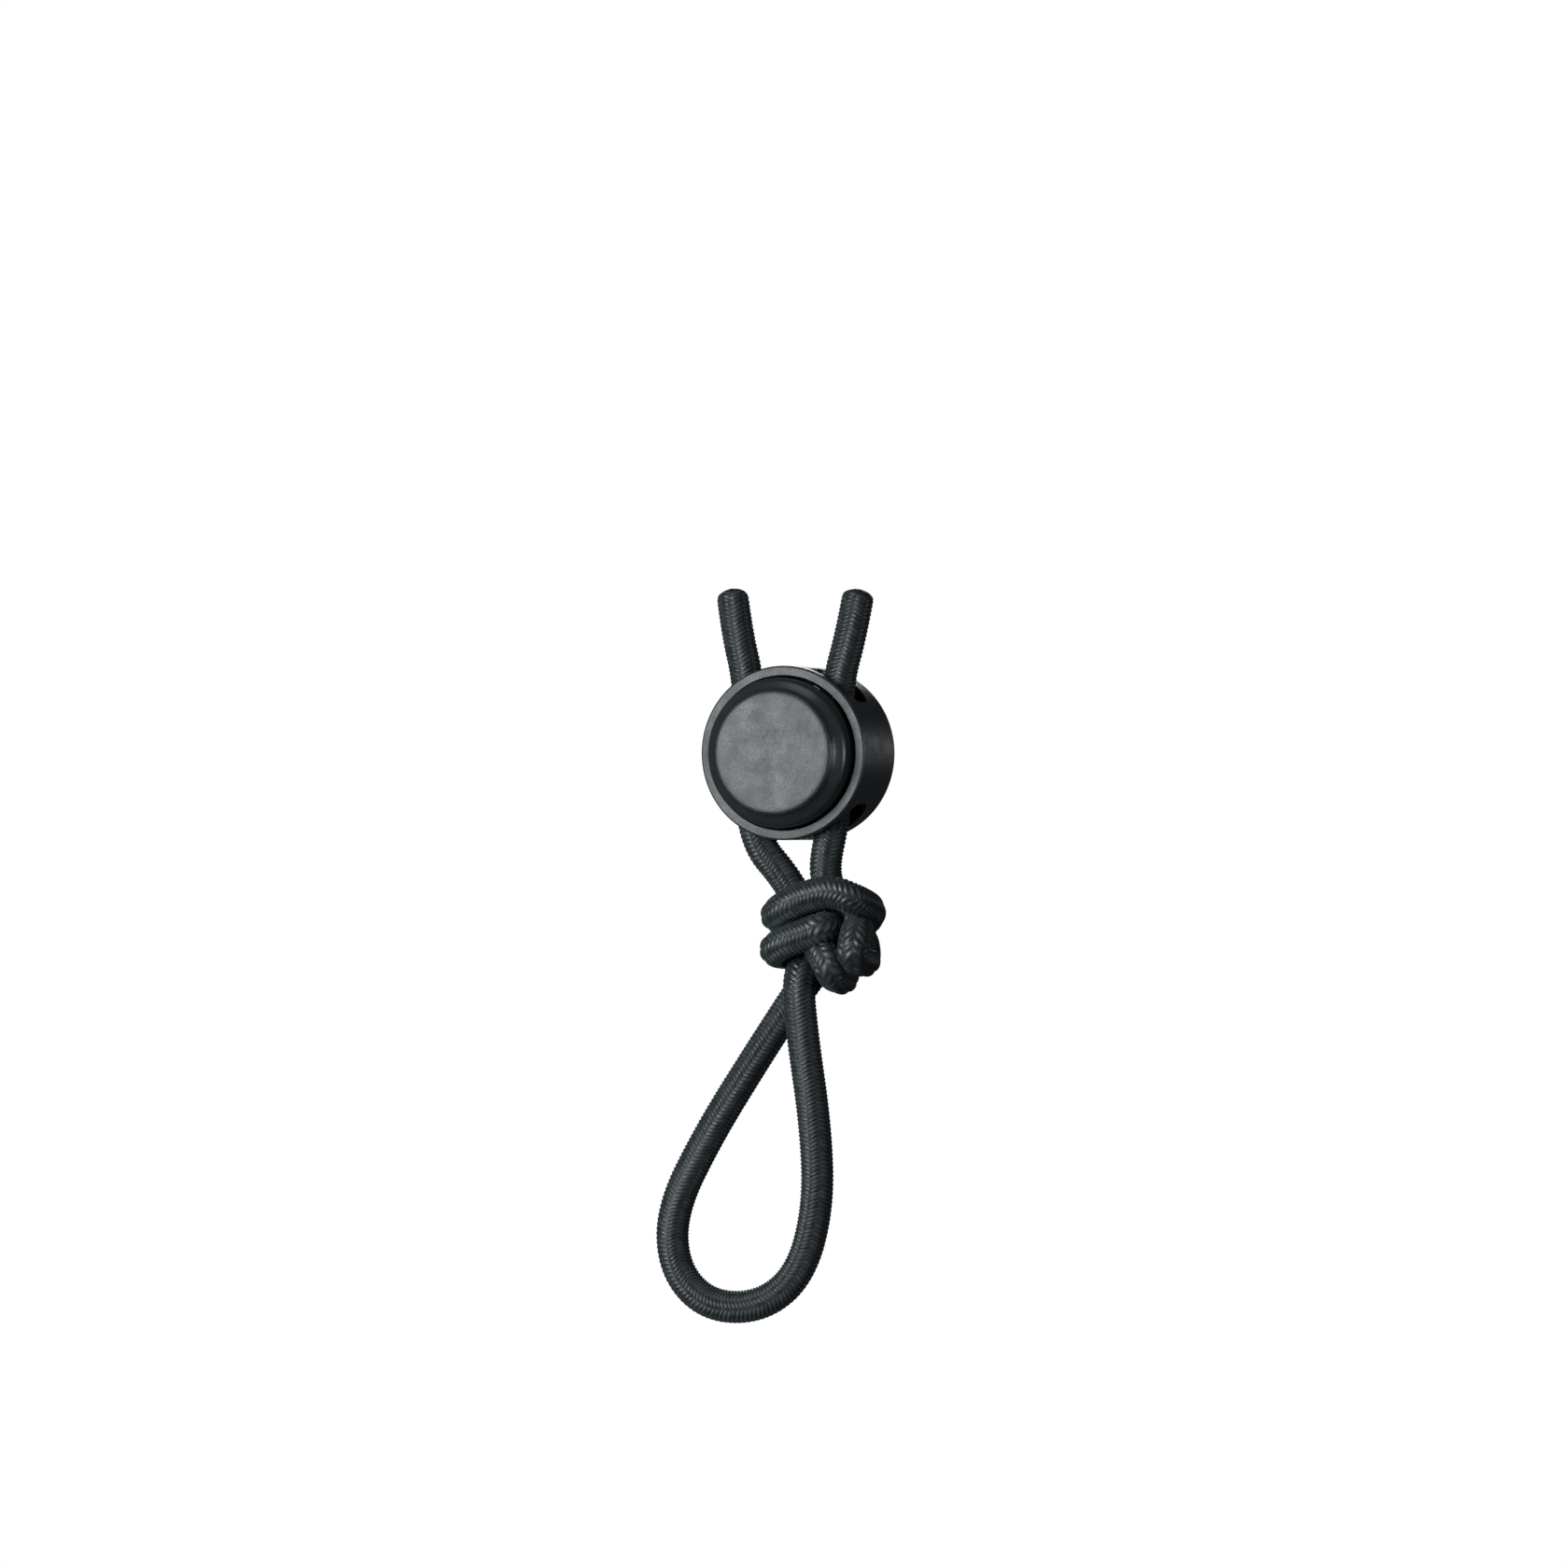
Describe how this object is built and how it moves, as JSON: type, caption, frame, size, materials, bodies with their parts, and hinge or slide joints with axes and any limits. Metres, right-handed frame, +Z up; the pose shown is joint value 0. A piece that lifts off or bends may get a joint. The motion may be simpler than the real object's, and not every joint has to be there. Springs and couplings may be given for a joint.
{
  "type": "cord lock",
  "caption": "Round two-hole push-button cord lock on a knotted loop of braided elastic cord; a sprung button nips both legs of a hem drawcord.",
  "frame": {"origin": "midway between the two places where the cord leaves the hem that it closes", "axes": "+Z up along the hanging cord, +Y into the drum from its button, +X to the right as the button is faced"},
  "size_m": [0.0272, 0.0145, 0.085],
  "materials": {
    "drum_plastic": "fine sparked grain on the rim, satin on the wall",
    "button_plastic": "fine grain on the face, satin on the shoulder",
    "spring_steel": "bright drawn wire",
    "braid": "tight herringbone braid of polyester",
    "core_rubber": "bundled latex"
  },
  "bodies": {
    "lock": {"housing": "drum_plastic", "spring": "spring_steel"},
    "button": {"push_button": "button_plastic"},
    "legs": {"left_leg_sheath": "braid", "left_leg_core": "core_rubber", "right_leg_sheath": "braid", "right_leg_core": "core_rubber"},
    "pull_loop": {"cord_knot": "braid", "loop_sheath": "braid", "loop_core": "core_rubber"}
  },
  "joints": [
    {"name": "button_press", "type": "slide", "parent": "lock", "child": "button", "axis": [0, 1, 0], "range_m": [0, 0.0028], "stiffness_N_per_m": 1200, "springref_m": -0.004, "deforming": ["spring"]},
    {"name": "cord_shift", "type": "slide", "parent": "lock", "child": "legs", "axis": [0, 1, 0], "range_m": [0, 0.0016]},
    {"name": "loop_pull", "type": "slide", "parent": "legs", "child": "pull_loop", "axis": [0, 0, -1], "range_m": [0, 0.004], "stiffness_N_per_m": 8000}
  ],
  "couplings": [
    {"joint": "cord_shift", "follows": "button_press", "ratio": 0.57}
  ]
}
